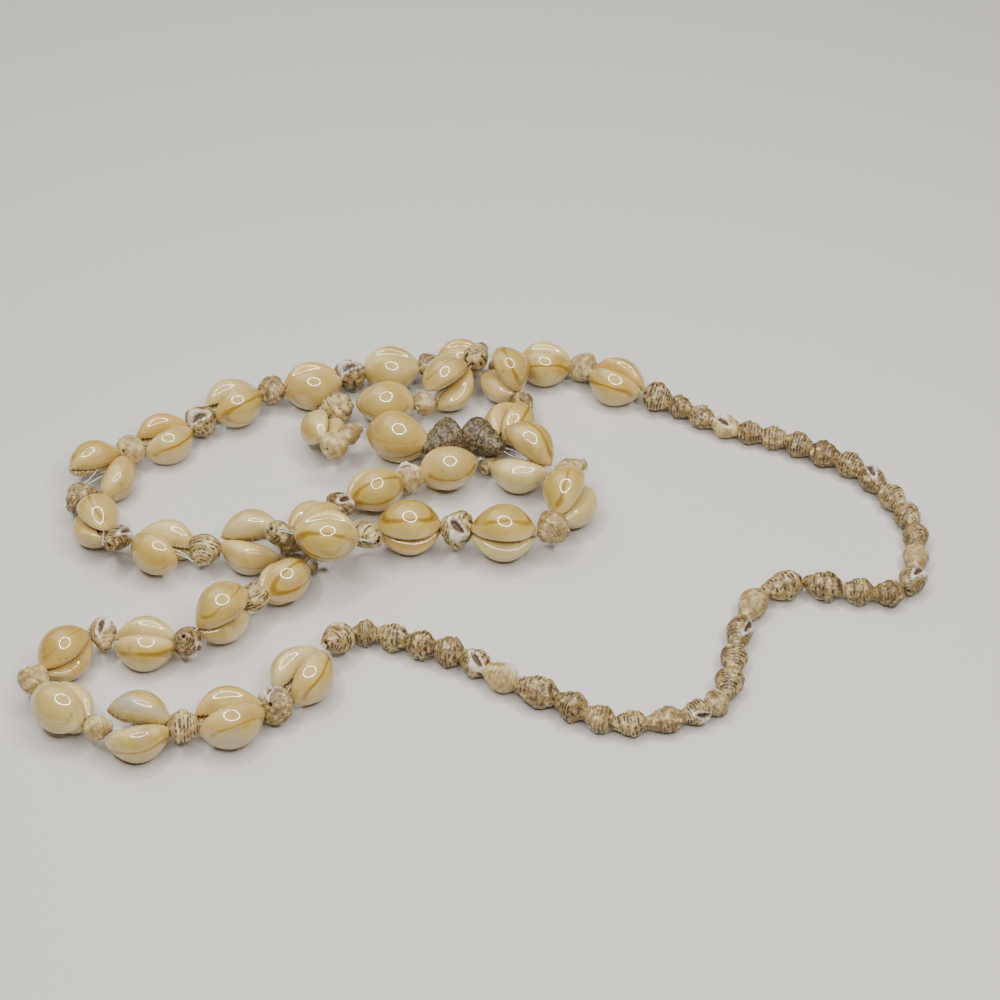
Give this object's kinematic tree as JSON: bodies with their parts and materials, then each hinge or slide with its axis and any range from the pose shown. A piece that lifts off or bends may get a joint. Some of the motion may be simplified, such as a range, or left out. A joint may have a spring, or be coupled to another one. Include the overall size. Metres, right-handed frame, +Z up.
{
  "type": "cowrie shell necklace",
  "caption": "Long closed necklace of cowrie shells strung in pairs, base to base, with small spotted shells between them and a back string of small shells, laid in loose folds.",
  "frame": {"origin": "centre of the lying necklace's bounding box, on the surface it lies on", "axes": "+Z up from the surface, -Y towards the viewer of the picture, +X to the viewer's right"},
  "size_m": [0.274, 0.1864, 0.0258],
  "materials": {
    "cowrie": "glossy natural shell, cream with an orange-gold ring line",
    "small_shell": "satin natural shell, cream with brown spots and bands",
    "dark_shell": "satin natural shell, dark grey-brown",
    "nylon": "clear nylon line"
  },
  "bodies": {
    "root": {"cowrie_pair_01": "cowrie", "cowrie_pair_02": "cowrie", "cowrie_pair_03": "cowrie", "cowrie_pair_04": "cowrie", "cowrie_pair_05": "cowrie", "cowrie_pair_06": "cowrie", "cowrie_pair_07": "cowrie", "cowrie_pair_08": "cowrie", "cowrie_pair_09": "cowrie", "cowrie_pair_10": "cowrie", "cowrie_pair_11": "cowrie", "cowrie_pair_12": "cowrie", "cowrie_pair_13": "cowrie", "cowrie_pair_14": "cowrie", "cowrie_pair_15": "cowrie", "cowrie_pair_16": "cowrie", "cowrie_pair_17": "cowrie", "cowrie_pair_18": "cowrie", "cowrie_pair_19": "cowrie", "cowrie_pair_20": "cowrie", "cowrie_pair_21": "cowrie", "cowrie_pair_22": "cowrie", "cowrie_pair_23": "cowrie", "cowrie_pair_24": "cowrie", "cowrie_pair_25": "cowrie", "cowrie_pair_26": "cowrie", "cowrie_pair_27": "cowrie", "cowrie_pair_28": "cowrie", "cowrie_pair_29": "cowrie", "cowrie_pair_30": "cowrie", "cowrie_pair_31": "cowrie", "cowrie_pair_32": "cowrie", "cowrie_pair_33": "cowrie", "spacer_shells": "small_shell", "dark_shells": "dark_shell", "back_string": "small_shell", "thread": "nylon"}
  },
  "joints": []
}
